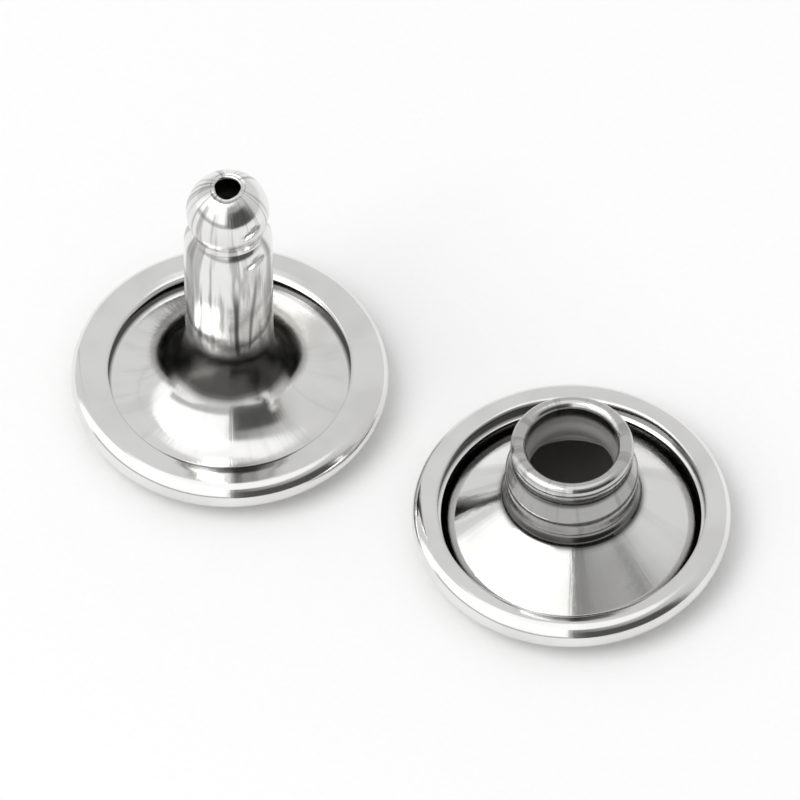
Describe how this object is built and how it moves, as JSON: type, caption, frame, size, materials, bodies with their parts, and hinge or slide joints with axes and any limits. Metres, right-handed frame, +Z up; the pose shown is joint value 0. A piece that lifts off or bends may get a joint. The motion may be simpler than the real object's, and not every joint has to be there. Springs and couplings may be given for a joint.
{
  "type": "double cap rivet",
  "caption": "Unset double cap rivet: a domed cap with a hollow round-nosed post, and a domed cap whose cone and short collar take the post.",
  "frame": {"origin": "on the floor, midway between the axes of the two halves, which stand on their caps", "axes": "+X from the post half to the socket half, +Z up along the post and the collar, +Y to the back"},
  "size_m": [0.0198, 0.009, 0.0096],
  "materials": {
    "post_cap_nickel": "bright nickel plate, mirror polished",
    "stem_nickel": "bright nickel plate over a drawn tube",
    "socket_cap_nickel": "bright nickel plate, mirror polished",
    "eyelet_nickel": "bright nickel plate over a drawn eyelet"
  },
  "bodies": {
    "root": {"post_cap_shell": "post_cap_nickel", "post_stem": "stem_nickel", "socket_cap_shell": "socket_cap_nickel", "socket_eyelet": "eyelet_nickel"}
  },
  "joints": []
}
